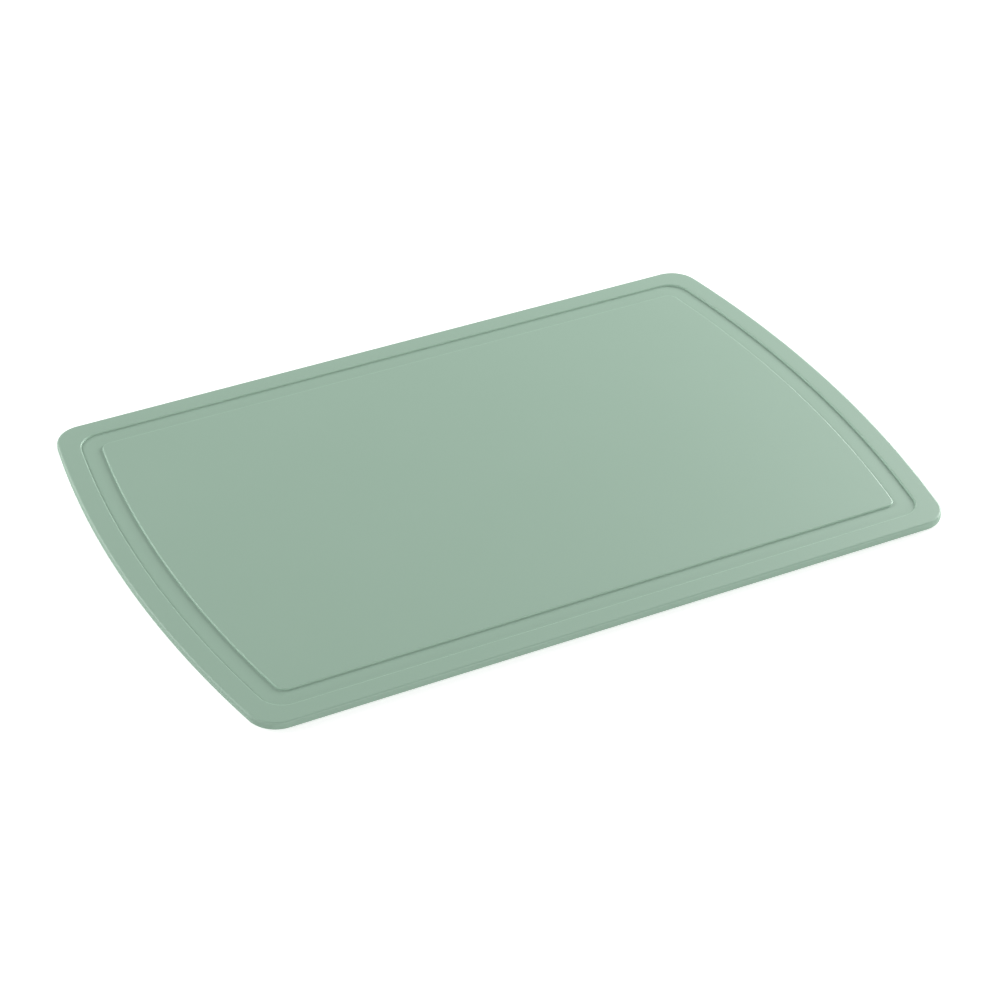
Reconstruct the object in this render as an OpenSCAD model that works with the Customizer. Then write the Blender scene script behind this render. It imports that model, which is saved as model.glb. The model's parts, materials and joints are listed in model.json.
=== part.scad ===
// Flexible cutting mat with bowed ends and a juice groove.
// The mat is one soft moulding. It is drawn as long strips that lie side by side, so that the two long
// sides can curl up into a chute: each strip turns about the top edge of the seam to its neighbour.
// X runs along the mat, Y across it and Z up. The origin is the middle of the underside.

/* [Mat] */
// Length, from the middle of one bowed end to the middle of the other
mat_l = 380; // [320:5:440]
// Width, from one straight long side to the other
mat_w = 252; // [225:1:300]
// Thickness
mat_t = 4; // [3.4:0.1:6]
// Radius of the arc that bows each short end outwards
end_r = 620; // [450:1:1200]
// Radius of the four outer corners, seen from above
corner_r = 14.5; // [8:0.5:20]

/* [Edges] */
// Rounding of the top edge
top_edge_r = 1; // [0.5:0.1:1.9]
// Rounding of the bottom edge
bottom_edge_r = 0.8; // [0.2:0.1:1.4]

/* [Juice groove] */
// Width of the flat rim outside the groove
rim_w = 10; // [7:0.5:12]
// Width of the groove, from lip to lip
groove_w = 10.9; // [8:0.1:12]
// Depth of the groove below the cutting face
groove_depth = 0.8; // [0.6:0.1:1.4]
// Steepest slope of the groove's outer wall, in degrees
outer_slope = 80; // [60:1:82]
// Rounding of the outer lip, where the rim turns down into the groove
outer_lip_r = 0.5; // [0.2:0.05:0.6]
// Fillet between the outer wall and the groove floor
outer_floor_r = 0.2; // [0.1:0.05:0.6]
// Steepest slope of the groove's inner wall, in degrees
inner_slope = 80; // [60:1:82]
// Rounding of the inner lip, at the edge of the cutting panel
inner_lip_r = 0.5; // [0.2:0.05:0.6]
// Fillet between the inner wall and the groove floor
inner_floor_r = 0.2; // [0.1:0.05:0.6]
// Radius of the corners of the groove's outer lip
groove_corner_r = 12.5; // [8:0.5:16]
// Radius of the corners of the cutting panel inside the groove
panel_corner_r = 4.5; // [3:0.5:8]

/* [Flexing] */
// Width of the outermost strip of each long side, which holds the rim and its groove
rim_strip_w = 26.25; // [26.25:0.25:34]
// Gap between two strips, so narrow that it only keeps their faces from overlapping
seam_gap = 0.02; // [0.01:0.01:0.1]

/* [Hidden] */
// Strips of the cutting panel to either side of the centre strip
side_strips = 9;
sides = [-1, 1];
places = [-side_strips:side_strips];

// The front has negative Y, so its side is -1 and its strips have places below 0
function side_name(side) = side < 0 ? "front" : "back";
function strip_name(place) = place == 0 ? "centre_strip" : str(side_name(place), "_strip_", abs(place));
function rim_name(side) = str(side_name(side), "_rim_strip");

mat_green = [0.61, 0.72, 0.66];
half_l = mat_l / 2;
half_w = mat_w / 2;
flex_half_w = half_w - rim_strip_w;
strip_pitch = 2 * flex_half_w / (2 * side_strips + 1);
strip_w = strip_pitch - seam_gap;
panel_inset = rim_w + groove_w;
// Centre of the arc of the right-hand end, which lies far to the left
end_cx = half_l - end_r;
// Turn to either side that takes in every strip between the two rim strips
end_turn = asin(flex_half_w / (end_r - half_l)) + 1;
end_steps = 20;
corner_steps = 8;
round_steps = 4;
// Shortest straight stretch that a groove wall keeps between its lip and its fillet, measured in depth
least_drop = 0.05;

// Radius of the fillet at the foot of a groove wall, kept small enough for the groove's depth
function fillet(slope, lip_r, floor_r) =
    min(floor_r, (groove_depth - least_drop) / (1 - cos(slope)) - lip_r);

// A groove wall as [distance from its lip, drop below the cutting face], from the lip to the floor
function wall(slope, lip_r, floor_r) =
    let (
        rounded = (lip_r + floor_r) * (1 - cos(slope)),
        run = (lip_r + floor_r) * sin(slope) + (groove_depth - rounded) / tan(slope)
    )
    concat(
        [for (i = [0:round_steps]) let (a = slope * i / round_steps)
            [lip_r * sin(a), lip_r * (1 - cos(a))]],
        [for (i = [round_steps:-1:0]) let (a = slope * i / round_steps)
            [run - floor_r * sin(a), groove_depth - floor_r * (1 - cos(a))]]
    );

outer_wall = wall(outer_slope, outer_lip_r, fillet(outer_slope, outer_lip_r, outer_floor_r));
inner_wall = wall(inner_slope, inner_lip_r, fillet(inner_slope, inner_lip_r, inner_floor_r));
last_wall = len(inner_wall) - 1;

// The edge profile from the underside to the panel, as [inset from the outline, height, corner radius]
edge_profile = concat(
    [for (i = [0:round_steps]) let (a = 90 * i / round_steps, inset = bottom_edge_r * (1 - sin(a)))
        [inset, bottom_edge_r * (1 - cos(a)), corner_r - inset]],
    [for (i = [0:round_steps]) let (a = 90 * i / round_steps, inset = top_edge_r * (1 - cos(a)))
        [inset, mat_t - top_edge_r * (1 - sin(a)), corner_r - inset]],
    [for (p = outer_wall) [rim_w + p[0], mat_t - p[1], groove_corner_r - p[0]]],
    [for (i = [last_wall:-1:0]) let (p = inner_wall[i])
        [panel_inset - p[0], mat_t - p[1], panel_corner_r + p[0]]]
);

// The mat's outline moved inwards, anticlockwise: two bowed ends, two straight sides, four round corners
function loop(inset, r) =
    let (
        corner_y = half_w - inset - r,
        arc_r = end_r - inset,
        corner_x = end_cx + sqrt(pow(arc_r - r, 2) - pow(corner_y, 2)),
        turn = atan2(corner_y, corner_x - end_cx),
        end = [for (i = [0:end_steps]) let (a = turn * (2 * i / end_steps - 1))
            [end_cx + arc_r * cos(a), arc_r * sin(a)]],
        corner = [for (i = [1:corner_steps]) let (a = turn + (90 - turn) * i / corner_steps)
            [corner_x + r * cos(a), corner_y + r * sin(a)]],
        other_corner = [for (i = [corner_steps - 1:-1:0]) [corner[i][0], -corner[i][1]]],
        right = concat(other_corner, end, corner)
    )
    concat(right, [for (p = right) -p]);

// The whole mat as one closed skin, whose rings climb the edge profile from the underside to the panel
module whole_mat() {
    rings = [for (p = edge_profile) [for (q = loop(p[0], p[2])) [q[0], q[1], p[1]]]];
    n = len(rings[0]);
    last = len(rings) - 1;
    polyhedron(
        points = [for (ring = rings) each ring],
        faces = concat(
            [[for (i = [0:n - 1]) i]],
            [for (k = [0:last - 1], i = [0:n - 1], half = [0, 1])
                let (a = k * n + i, b = k * n + (i + 1) % n)
                half == 0 ? [a, a + n, b + n] : [a, b + n, b]],
            [[for (i = [n - 1:-1:0]) last * n + i]]
        ),
        convexity = 6
    );
}

// The right-hand half of the mat between its corners: the edge profile turned about the end arc's centre
module right_half() {
    profile = concat(
        [[end_r - half_l, 0]],
        [for (p = edge_profile) [end_r - p[0], p[1]]],
        [[end_r - half_l, mat_t]]
    );
    intersection() {
        translate([end_cx, 0, 0])
            rotate([0, 0, -end_turn])
            rotate_extrude(angle = 2 * end_turn, $fn = 256)
            polygon(profile);
        translate([0, -half_w, 0])
            cube([mat_l, mat_w, mat_t]);
    }
}

// A long slice of the mat, given by the Y of its lower side and its width
module slice(y, w) {
    translate([-mat_l, y, 0])
        cube([2 * mat_l, w, mat_t]);
}

// A strip of the cutting panel, counted from the centre strip at place 0
module panel_strip(place) {
    color(mat_green)
    intersection() {
        union() {
            right_half();
            mirror([1, 0, 0]) right_half();
        }
        slice(place * strip_pitch - strip_w / 2, strip_w);
    }
}

// The outermost strip of a long side, with its rim, its long run of the groove and two corners
module rim_strip(side) {
    color(mat_green)
    intersection() {
        whole_mat();
        slice(side < 0 ? -half_w : flex_half_w + seam_gap / 2, rim_strip_w - seam_gap / 2);
    }
}

for (place = places)
    panel_strip(place);
for (side = sides)
    rim_strip(side);
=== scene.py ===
import json
import math

import bmesh
import bpy
from mathutils import Matrix, Vector

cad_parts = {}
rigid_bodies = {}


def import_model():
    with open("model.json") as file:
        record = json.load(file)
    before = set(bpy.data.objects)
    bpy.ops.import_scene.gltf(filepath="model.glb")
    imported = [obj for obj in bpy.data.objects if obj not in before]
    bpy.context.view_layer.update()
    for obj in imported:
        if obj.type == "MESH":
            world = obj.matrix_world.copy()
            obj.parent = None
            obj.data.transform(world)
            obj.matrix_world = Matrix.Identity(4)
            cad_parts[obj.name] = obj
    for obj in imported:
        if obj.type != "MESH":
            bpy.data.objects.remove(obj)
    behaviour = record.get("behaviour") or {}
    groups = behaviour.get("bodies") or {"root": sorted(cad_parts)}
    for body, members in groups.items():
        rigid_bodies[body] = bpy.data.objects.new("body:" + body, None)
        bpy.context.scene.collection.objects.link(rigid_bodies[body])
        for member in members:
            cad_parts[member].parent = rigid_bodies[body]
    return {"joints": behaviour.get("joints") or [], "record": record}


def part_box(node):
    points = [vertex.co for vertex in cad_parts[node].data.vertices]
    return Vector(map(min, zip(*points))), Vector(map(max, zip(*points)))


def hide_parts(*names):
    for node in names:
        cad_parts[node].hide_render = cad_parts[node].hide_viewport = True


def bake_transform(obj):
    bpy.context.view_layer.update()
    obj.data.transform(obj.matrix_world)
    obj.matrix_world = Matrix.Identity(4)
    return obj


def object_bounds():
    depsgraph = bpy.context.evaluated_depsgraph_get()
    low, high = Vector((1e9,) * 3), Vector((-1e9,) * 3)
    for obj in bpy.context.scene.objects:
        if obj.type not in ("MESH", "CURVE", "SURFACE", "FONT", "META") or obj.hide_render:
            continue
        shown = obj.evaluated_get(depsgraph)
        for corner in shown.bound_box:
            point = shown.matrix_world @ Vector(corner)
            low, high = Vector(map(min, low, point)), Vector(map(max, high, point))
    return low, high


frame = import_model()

cad_low, cad_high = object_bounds()

# The cut through the mat's edge
# The mat is one moulded sheet of soft polyurethane with no other piece on it. This is a cut
# through its edge: underside, rounded edge, flat rim, down into the juice groove, and up again
# onto the cutting panel.
mm = 0.001
mat_thickness = cad_high.z - cad_low.z
end_radius = 620 * mm
corner_radius = 14.5 * mm
top_edge_radius = 1.0 * mm
bottom_edge_radius = 0.8 * mm
rim_width = 10 * mm
groove_width = 10.9 * mm
groove_depth = 0.8 * mm
outer_slope = math.radians(80)
outer_lip_radius = 0.5 * mm
outer_floor_radius = 0.2 * mm
inner_slope = math.radians(80)
inner_lip_radius = 0.5 * mm
inner_floor_radius = 0.2 * mm
groove_corner_radius = 12.5 * mm
panel_corner_radius = 4.5 * mm
# Distance of the extra line of points that keeps the flat beside a rounding flat
flat_margin = 0.15 * mm
# How strongly the top of the outer edge gets the painted highlight and the smoother finish, where
# the groove's lips get 1
top_edge_highlight_and_gloss = 0.7
edge_steps = 8
lip_steps = 6
floor_steps = 6


def arc(centre_across, centre_up, radius, start, end, steps):
    """Points of a round stretch of the cut, between two angles, as (distance inwards, height)."""
    angles = [start + (end - start) * i / steps for i in range(steps + 1)]
    return [
        (centre_across - radius * math.cos(angle), centre_up + radius * math.sin(angle))
        for angle in angles
    ]


def groove_wall(slope, lip_radius, floor_radius):
    """A wall of the groove, flat to flat, as (distance from the lip, height above it, share of
    painted highlight and gloss).
    """
    radii = lip_radius + floor_radius
    rounded = radii * (1 - math.cos(slope))
    run = radii * math.sin(slope) + (groove_depth - rounded) / math.tan(slope)
    upright = math.pi / 2
    lip = arc(0, -lip_radius, lip_radius, upright, upright + slope, lip_steps)
    floor_up = floor_radius - groove_depth
    floor = arc(run, floor_up, floor_radius, slope - upright, -upright, floor_steps)
    # The lip's rounding gets the whole painted highlight and the smoother finish
    lip = [(-flat_margin, 0, 0), *[(across, up, 1) for across, up in lip]]
    floor = [*floor, (run + flat_margin, -groove_depth)]
    return lip + [(across, up, 0) for across, up in floor]


def edge_cut():
    """The whole cut as (distance in from the outline, corner radius from above, height, share of
    painted highlight and gloss).
    """
    top, low = top_edge_radius, bottom_edge_radius
    outside = [(low + flat_margin, 0), *arc(low, low, low, -math.pi / 2, 0, edge_steps)]
    cut = [(inset, corner_radius - inset, height, 0) for inset, height in outside]
    rounding = arc(top, mat_thickness - top, top, 0, math.pi / 2, edge_steps)
    # The top edge's rounding gets more of the painted highlight and the smoother finish towards the
    # top
    cut += [(inset, corner_radius - inset, height, top_edge_highlight_and_gloss * i / edge_steps)
            for i, (inset, height) in enumerate(rounding)]
    cut.append((top + flat_margin, corner_radius - top - flat_margin, mat_thickness, 0))
    outer = groove_wall(outer_slope, outer_lip_radius, outer_floor_radius)
    cut += [
        (rim_width + run, groove_corner_radius - run, mat_thickness + up, painted_highlight_and_gloss)
        for run, up, painted_highlight_and_gloss in outer
    ]
    inner = reversed(groove_wall(inner_slope, inner_lip_radius, inner_floor_radius))
    panel_inset = rim_width + groove_width
    cut += [
        (panel_inset - run, panel_corner_radius + run, mat_thickness + up, painted_highlight_and_gloss)
        for run, up, painted_highlight_and_gloss in inner
    ]
    return cut


# The finish of the mat
# Soft polyurethane, dyed sage green right through. The mould is finely blasted, so the sheet
# comes out matt with a fine grain, and the colour clouds very slightly where the melt flowed.
sage_green = (0.322, 0.470, 0.371, 1)
sage_cloud = (0.310, 0.458, 0.358, 1)
cloud_size = 60 * mm
grain_size = 0.9 * mm
pore_size = 0.28 * mm
grain_height = 0.012 * mm
pore_height = 0.006 * mm
# How fast the finer waves of each noise fade, and its middle value
noise_fade = 0.55
noise_middle = 0.5
matt_roughness = 0.52
roughness_spread = 0.06
polyurethane_ior = 1.5
# The lips and the top edge are painted a little paler than the flats, a painted highlight, and are
# given a smoother finish than the flats
painted_highlight_green = (0.358, 0.526, 0.413, 1)
rubbed_roughness = 0.42
# The relief is in metres already, so the bump takes it as it is
bump_scale = 1.0


class Socket:
    """The output of a node. Arithmetic on it adds Math nodes to its tree."""

    def __init__(self, tree, output):
        self.tree = tree
        self.output = output

    def maths(self, operation, *values):
        settings = {"operation": operation}
        return add_node(self.tree, "ShaderNodeMath", settings, dict(enumerate(values)))

    def one(self, operation, *others):
        """A Math node whose first value is this socket."""
        return self.maths(operation, self, *others)

    def __add__(self, other):
        return self.maths("ADD", self, other)

    def __radd__(self, other):
        return self.maths("ADD", other, self)

    def __sub__(self, other):
        return self.maths("SUBTRACT", self, other)

    def __rsub__(self, other):
        return self.maths("SUBTRACT", other, self)

    def __mul__(self, other):
        return self.maths("MULTIPLY", self, other)

    def __rmul__(self, other):
        return self.maths("MULTIPLY", other, self)

    def __truediv__(self, other):
        return self.maths("DIVIDE", self, other)

    def __mod__(self, other):
        return self.maths("FLOORED_MODULO", self, other)

    def __gt__(self, other):
        return self.maths("GREATER_THAN", self, other)


def add_node(tree, kind, settings=None, inputs=None, output=0):
    """Adds one node to a tree, sets it up, fills or links its inputs, and returns an output."""
    node = tree.nodes.new(kind)
    for name, value in (settings or {}).items():
        setattr(node, name, value)
    for key, value in (inputs or {}).items():
        if isinstance(value, Socket):
            tree.links.new(value.output, node.inputs[key])
        else:
            node.inputs[key].default_value = value
    return Socket(tree, node.outputs[output])


def mix_colours(tree, share, first, second):
    """A Mix node for two colours, with its share and its colours in the sockets 0, 6 and 7."""
    sockets = {0: share, 6: first, 7: second}
    return add_node(tree, "ShaderNodeMix", {"data_type": "RGBA"}, sockets, output=2)


def mat_finish():
    material = bpy.data.materials.new("sage_polyurethane")
    material.use_nodes = True
    tree = material.node_tree
    shader = tree.nodes["Principled BSDF"]
    place = add_node(tree, "ShaderNodeTexCoord", output="Object")

    def noise(size, detail):
        sockets = {"Vector": place, "Scale": 1 / size, "Detail": detail, "Roughness": noise_fade}
        return add_node(tree, "ShaderNodeTexNoise", inputs=sockets)

    cloud = noise(cloud_size, detail=3)
    grain = noise(grain_size, detail=2)
    pores = noise(pore_size, detail=1)
    # This mask paints a highlight on the lips and the top edge with a paler green, and makes them
    # smoother
    painted_highlight_and_gloss = add_node(tree, "ShaderNodeAttribute", {"attribute_name": "painted_highlight_and_gloss"}, output="Fac")
    colour = mix_colours(tree, painted_highlight_and_gloss, mix_colours(tree, cloud, sage_green, sage_cloud), painted_highlight_green)
    roughness = matt_roughness + (grain - noise_middle) * roughness_spread
    roughness = roughness + painted_highlight_and_gloss * (rubbed_roughness - matt_roughness)
    relief = grain * grain_height + pores * pore_height
    bump = {"Strength": bump_scale, "Distance": bump_scale, "Height": relief}
    normal = add_node(tree, "ShaderNodeBump", inputs=bump)
    tree.links.new(colour.output, shader.inputs["Base Color"])
    tree.links.new(roughness.output, shader.inputs["Roughness"])
    tree.links.new(normal.output, shader.inputs["Normal"])
    shader.inputs["IOR"].default_value = polyurethane_ior
    return material


polyurethane = mat_finish()

# The whole moulding
# The cut is carried round the mat's outline: two straight long sides, two short ends bowed
# outwards and four round corners. A corner's radius differs from the outline to the groove and
# from the groove to the panel.
end_steps = 64
corner_steps = 16
half_a_step = 0.5
weld_distance = 0.001 * mm


def section_mesh():
    """The cut as a mesh of loose points, which the sweep reads."""
    cut = edge_cut()
    mesh = bpy.data.meshes.new("edge_cut")
    mesh.from_pydata([point[:3] for point in cut], [], [])
    # Each point's share of the painted highlight and the smoother finish
    painted_highlight_and_gloss = mesh.attributes.new("painted_highlight_and_gloss", "FLOAT", "POINT")
    painted_highlight_and_gloss.data.foreach_set("value", [point[3] for point in cut])
    return mesh


def sweep_tree():
    """Geometry nodes that carry the points of a cut round the mat's outline."""
    tree = bpy.data.node_groups.new("sweep_round_mat", "GeometryNodeTree")
    tree.is_modifier = True
    tree.interface.new_socket("Cut", in_out="INPUT", socket_type="NodeSocketGeometry")
    for name in ("Half Length", "Half Width", "End Radius"):
        tree.interface.new_socket(name, in_out="INPUT", socket_type="NodeSocketFloat")
    for name in ("End Steps", "Corner Steps"):
        tree.interface.new_socket(name, in_out="INPUT", socket_type="NodeSocketInt")
    tree.interface.new_socket("Finish", in_out="INPUT", socket_type="NodeSocketMaterial")
    tree.interface.new_socket("Mat", in_out="OUTPUT", socket_type="NodeSocketGeometry")
    given = tree.nodes.new("NodeGroupInput")
    # The last of a group's outputs is only an empty place for one more
    cut, half_l, half_w, end_r, ends, corners, finish = (
        Socket(tree, output) for output in given.outputs[:-1]
    )

    # A grid of points: each column is the cut once, and the columns go round the outline
    rings = add_node(tree, "GeometryNodeAttributeDomainSize", inputs={"Geometry": cut})
    right_end = corners * 2 + ends + 1
    columns = right_end * 2 + 1
    counts = {"Vertices X": columns, "Vertices Y": rings}
    grid = add_node(tree, "GeometryNodeMeshGrid", inputs=counts)
    index = add_node(tree, "GeometryNodeInputIndex")
    column = (index / rings).one("FLOOR")

    def from_cut(kind, value):
        """What the cut's own point says at this point of the grid."""
        sockets = {"Geometry": cut, "Value": value, "Index": index % rings}
        return add_node(tree, "GeometryNodeSampleIndex", {"data_type": kind}, sockets)

    point = from_cut("FLOAT_VECTOR", add_node(tree, "GeometryNodeInputPosition"))
    # Each point's share of the painted highlight and the smoother finish, carried round the outline
    painted_highlight_and_gloss_of_cut = add_node(tree, "GeometryNodeInputNamedAttribute", inputs={"Name": "painted_highlight_and_gloss"})
    painted_highlight_and_gloss = from_cut("FLOAT", painted_highlight_and_gloss_of_cut)
    inset = add_node(tree, "ShaderNodeSeparateXYZ", inputs={"Vector": point}, output="X")
    corner_r = Socket(tree, inset.output.node.outputs["Y"])
    height = Socket(tree, inset.output.node.outputs["Z"])

    # The outline at this inset: the end's arc, and the corner's arc that touches it and the side
    arc_r = end_r - inset
    end_x = half_l - end_r
    corner_y = half_w - inset - corner_r
    reach = ((arc_r - corner_r) * (arc_r - corner_r) - corner_y * corner_y).one("SQRT")
    turn = corner_y.one("ARCTAN2", reach)

    # How far along its arc this column lies, counted from the middle of its end
    step = column % right_end - corners - ends / 2
    steps_out = step.one("ABSOLUTE")
    on_end = steps_out.one("MINIMUM", ends / 2)
    on_corner = steps_out - on_end
    angle = turn * on_end / (ends / 2) + (math.pi / 2 - turn) * on_corner / corners
    in_corner = on_corner > half_a_step
    radius = arc_r + in_corner * (corner_r - arc_r)
    end_sign = 1 - 2 * ((column / right_end).one("FLOOR") % 2)
    side_sign = end_sign * step.one("SIGN")
    x = end_sign * (end_x + in_corner * reach + radius * angle.one("COSINE"))
    y = side_sign * (in_corner * corner_y + radius * angle.one("SINE"))
    place = add_node(tree, "ShaderNodeCombineXYZ", inputs={"X": x, "Y": y, "Z": height})
    skin = grid
    per_point = {"data_type": "FLOAT", "domain": "POINT"}
    for kind, settings, sockets in (
        ("GeometryNodeSetPosition", {}, {"Position": place}),
        ("GeometryNodeStoreNamedAttribute", per_point, {"Name": "painted_highlight_and_gloss", "Value": painted_highlight_and_gloss}),
        ("GeometryNodeMergeByDistance", {}, {"Distance": weld_distance}),
        ("GeometryNodeSetShadeSmooth", {}, {"Shade Smooth": True}),
        ("GeometryNodeRealizeInstances", {}, {}),
        ("GeometryNodeSetMaterial", {}, {"Material": finish}),
    ):
        skin = add_node(tree, kind, settings, {"Geometry": skin, **sockets})
    result = tree.nodes.new("NodeGroupOutput")
    tree.links.new(skin.output, result.inputs["Mat"])
    return tree


def moulding():
    """The mat's whole skin as a plain closed mesh."""
    tree = sweep_tree()
    maker = bpy.data.objects.new("moulding", section_mesh())
    bpy.context.scene.collection.objects.link(maker)
    sweep = maker.modifiers.new("sweep", "NODES")
    sweep.node_group = tree
    sizes = {
        "Half Length": cad_high.x, "Half Width": cad_high.y, "End Radius": end_radius,
        "End Steps": end_steps, "Corner Steps": corner_steps, "Finish": polyurethane,
    }
    for item in tree.interface.items_tree:
        if item.in_out == "INPUT" and item.name in sizes:
            sweep[item.identifier] = sizes[item.name]
    evaluated = maker.evaluated_get(bpy.context.evaluated_depsgraph_get())
    mesh = bpy.data.meshes.new_from_object(evaluated)
    bpy.data.objects.remove(maker)
    bm = bmesh.new()
    bm.from_mesh(mesh)
    bmesh.ops.holes_fill(bm, edges=[e for e in bm.edges if e.is_boundary], sides=0)
    bmesh.ops.recalc_face_normals(bm, faces=bm.faces)
    for face in bm.faces:
        face.smooth = True
    bm.to_mesh(mesh)
    bm.free()
    return mesh


whole_mat = moulding()

# The sheet, cut into bands
# The real sheet bends evenly when its long sides are lifted. It is taken in lengthwise bands,
# one for each hinge of the frame, from the middle of the strip before the hinge to the middle of
# the strip after it.
strips_of = frame["record"]["behaviour"]["bodies"]
row_spacing = 1.3 * mm
# How near a cut a point has to be to be moved onto it, and then to count as on it
snap_distance = 0.00001 * mm
on_cut_distance = 0.0001 * mm


def middle(body):
    """Y of the middle of a body's strip."""
    low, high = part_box(strips_of[body][0])
    return (low.y + high.y) / 2


def cap(bm, y):
    """Closes the cut face at y and keeps its edges sharp."""
    edges = [
        edge for edge in bm.edges
        if edge.is_boundary and all(abs(vert.co.y - y) < on_cut_distance for vert in edge.verts)
    ]
    for face in bmesh.ops.holes_fill(bm, edges=edges, sides=0)["faces"]:
        face.smooth = False
        for edge in face.edges:
            edge.smooth = False


def cut_across(bm, y, **clear):
    """Cuts the mesh lengthwise at y, and clears away one side where it is told to."""
    bmesh.ops.bisect_plane(
        bm, geom=[*bm.verts, *bm.edges, *bm.faces], dist=snap_distance,
        plane_co=(0, y, 0), plane_no=(0, 1, 0), **clear,
    )


def band(name, low, high):
    """The sheet between two Y, with rows of points close enough together to bend smoothly."""
    bm = bmesh.new()
    bm.from_mesh(whole_mat)
    for y, side in ((low, "clear_inner"), (high, "clear_outer")):
        if cad_low.y < y < cad_high.y:
            cut_across(bm, y, **{side: True})
            cap(bm, y)
    rows = max(1, round((high - low) / row_spacing))
    for i in range(1, rows):
        cut_across(bm, low + (high - low) * i / rows)
    bmesh.ops.recalc_face_normals(bm, faces=bm.faces)
    mesh = bpy.data.meshes.new(name)
    bm.to_mesh(mesh)
    bm.free()
    mesh.materials.append(polyurethane)
    piece = bpy.data.objects.new(name, mesh)
    bpy.context.scene.collection.objects.link(piece)
    return piece


for joint in frame["joints"]:
    before, after = joint["parent"], joint["child"]
    hinge = joint["pos_m"][1]
    start = middle(before)
    outermost = all(other["parent"] != after for other in frame["joints"])
    end = 2 * hinge - start if outermost else middle(after)
    free_edge = math.copysign(cad_high.y, hinge)
    low, high = sorted((start, free_edge if outermost else end))
    piece = band(after + "_sheet", low, high)
    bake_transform(piece)
    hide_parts(*strips_of[after])
    if before == "centre":
        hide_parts(*strips_of[before])

# The floor and the backdrop
# A plain white table that runs on past the picture. It is white to the camera and keeps the
# mat's shadow. It is clear from below and stops no light, so the underside can be looked at.
floor_size = 3.2
floor_grey = 0.75
floor_roughness = 0.9
floor_glow = 0.6
# Below the mat's own plane, so that the two don't lie in one another
floor_drop = 0.1 * mm


def seen_or_mirrored(tree):
    """1 for what is seen by itself, in a gloss or through glass, 0 for what only lights things."""
    camera = add_node(tree, "ShaderNodeLightPath", output="Is Camera Ray")
    rays = camera.output.node.outputs
    glossy, through = Socket(tree, rays["Is Glossy Ray"]), Socket(tree, rays["Is Transmission Ray"])
    return camera.one("MAXIMUM", glossy).one("MAXIMUM", through)


def floor_finish():
    material = bpy.data.materials.new("white_table")
    material.use_nodes = True
    tree = material.node_tree
    shader = tree.nodes["Principled BSDF"]
    shader.inputs["Base Color"].default_value = (floor_grey, floor_grey, floor_grey, 1)
    shader.inputs["Roughness"].default_value = floor_roughness
    shader.inputs["Emission Strength"].default_value = floor_glow
    tree.links.new(seen_or_mirrored(tree).output, shader.inputs["Emission Color"])
    shadow_ray = add_node(tree, "ShaderNodeLightPath", output="Is Shadow Ray")
    seen_from_below = add_node(tree, "ShaderNodeNewGeometry", output="Backfacing")
    faces = {
        0: shadow_ray.one("MAXIMUM", seen_from_below),
        1: Socket(tree, shader.outputs["BSDF"]),
        2: add_node(tree, "ShaderNodeBsdfTransparent"),
    }
    mixed = add_node(tree, "ShaderNodeMixShader", inputs=faces)
    tree.links.new(mixed.output, tree.nodes["Material Output"].inputs["Surface"])
    return material


def white_floor():
    mesh = bpy.data.meshes.new("floor")
    half = floor_size / 2
    corners = ((-half, -half), (half, -half), (half, half), (-half, half))
    mesh.from_pydata([(x, y, -floor_drop) for x, y in corners], [], [(0, 1, 2, 3)])
    mesh.materials.append(floor_finish())
    floor = bpy.data.objects.new("floor", mesh)
    bpy.context.scene.collection.objects.link(floor)


white_floor()

# The light
# A large softbox stands low and close on the right, so that the shallow groove throws its
# shadows. Three further off, on the left, behind and in front, fill the other side of each wall,
# a pale room fills the rest, and one under the table lights the underside.
room_light = 0.15


def world_light():
    world = bpy.data.worlds.new("room")
    bpy.context.scene.world = world
    world.use_nodes = True
    tree = world.node_tree
    background = tree.nodes["Background"]
    strength = room_light + seen_or_mirrored(tree) * (1 - room_light)
    tree.links.new(strength.output, background.inputs["Strength"])
    background.inputs["Color"].default_value = (1, 1, 1, 1)


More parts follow.
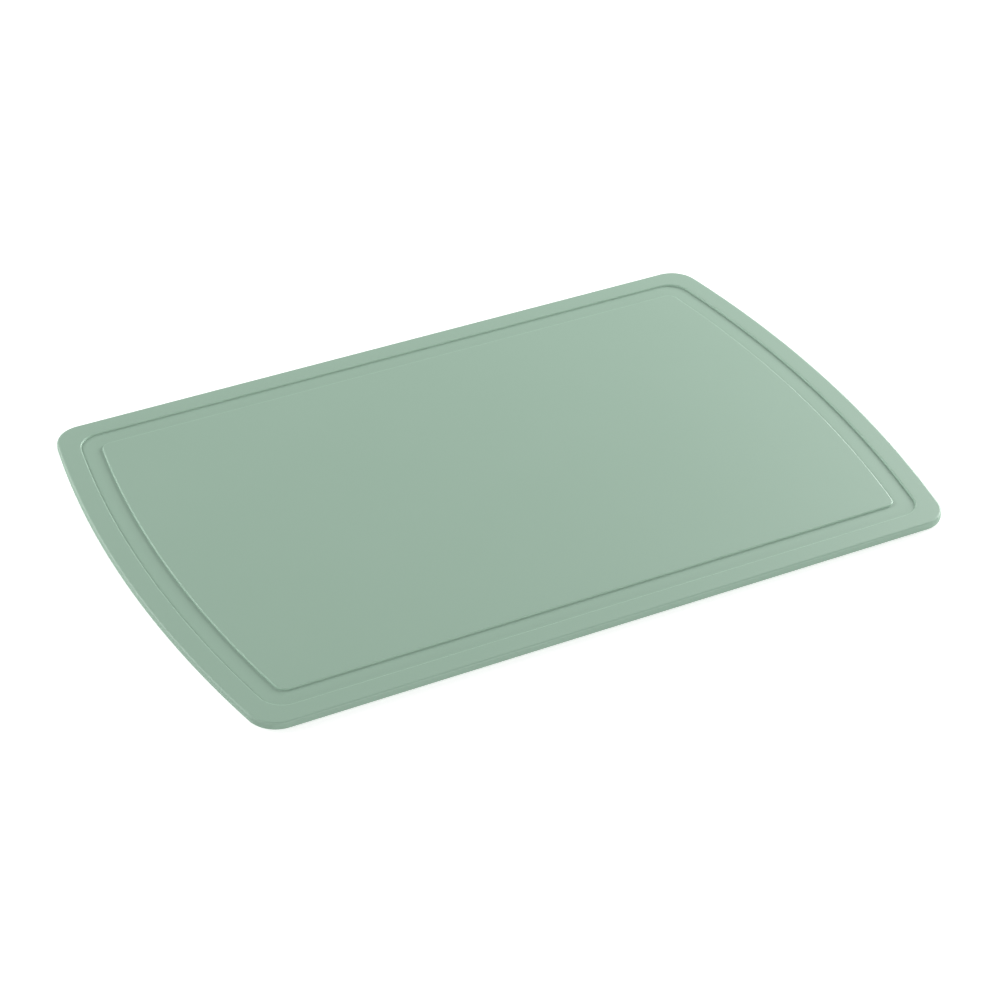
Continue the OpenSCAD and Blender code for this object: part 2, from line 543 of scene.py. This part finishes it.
def direction(turn, rise):
    """The way from the mat's middle, turned to the right from the front and raised, in degrees."""
    turn, rise = math.radians(turn), math.radians(rise)
    return Vector((
        math.sin(turn) * math.cos(rise),
        -math.cos(turn) * math.cos(rise),
        math.sin(rise),
    ))


def softbox(name, turn, rise, distance, size, power):
    """An area lamp aimed at the mat, placed by its direction as seen from the mat's middle."""
    away = direction(turn, rise)
    lamp = bpy.data.lights.new(name, "AREA")
    lamp.shape = "RECTANGLE"
    lamp.size, lamp.size_y = size
    lamp.energy = power
    box = bpy.data.objects.new(name, lamp)
    box.location = away * distance
    box.rotation_euler = away.to_track_quat("Z", "Y").to_euler()
    bpy.context.scene.collection.objects.link(box)


world_light()
softbox("right_softbox", turn=107, rise=17, distance=1.5, size=(1.2, 0.5), power=28)
softbox("left_softbox", turn=-76, rise=35, distance=3.0, size=(1.6, 1.4), power=24)
softbox("back_softbox", turn=222, rise=22, distance=2.2, size=(2.0, 0.6), power=30)
softbox("front_softbox", turn=18, rise=6, distance=2.4, size=(1.4, 0.5), power=23)
softbox("under_softbox", turn=0, rise=-90, distance=1.5, size=(1.0, 1.0), power=8)

# The camera
# It stands in front of the mat and to its left, and looks down at it with a long lens from
# nearly four mat lengths away.
camera_turn = -28.567
camera_rise = 35.401
camera_roll = math.radians(1.48)
camera_distance = 1.4485
camera_lens = 109.3
look_at = Vector((-5.14, -15.55, 0)) * mm
view_reach = 20


def photograph_camera():
    back = direction(camera_turn, camera_rise)
    level = Vector((0, 0, 1)).cross(back).normalized()
    up = back.cross(level)
    right = math.cos(camera_roll) * level + math.sin(camera_roll) * up
    above = math.cos(camera_roll) * up - math.sin(camera_roll) * level
    lens = bpy.data.cameras.new("camera")
    lens.lens = camera_lens
    lens.clip_end = view_reach
    camera = bpy.data.objects.new("camera", lens)
    turned = Matrix((right, above, back)).transposed().to_4x4()
    camera.matrix_world = Matrix.Translation(look_at + back * camera_distance) @ turned
    bpy.context.scene.collection.objects.link(camera)
    bpy.context.scene.camera = camera


photograph_camera()
bpy.context.scene.view_settings.view_transform = "Standard"

bpy.context.view_layer.update()
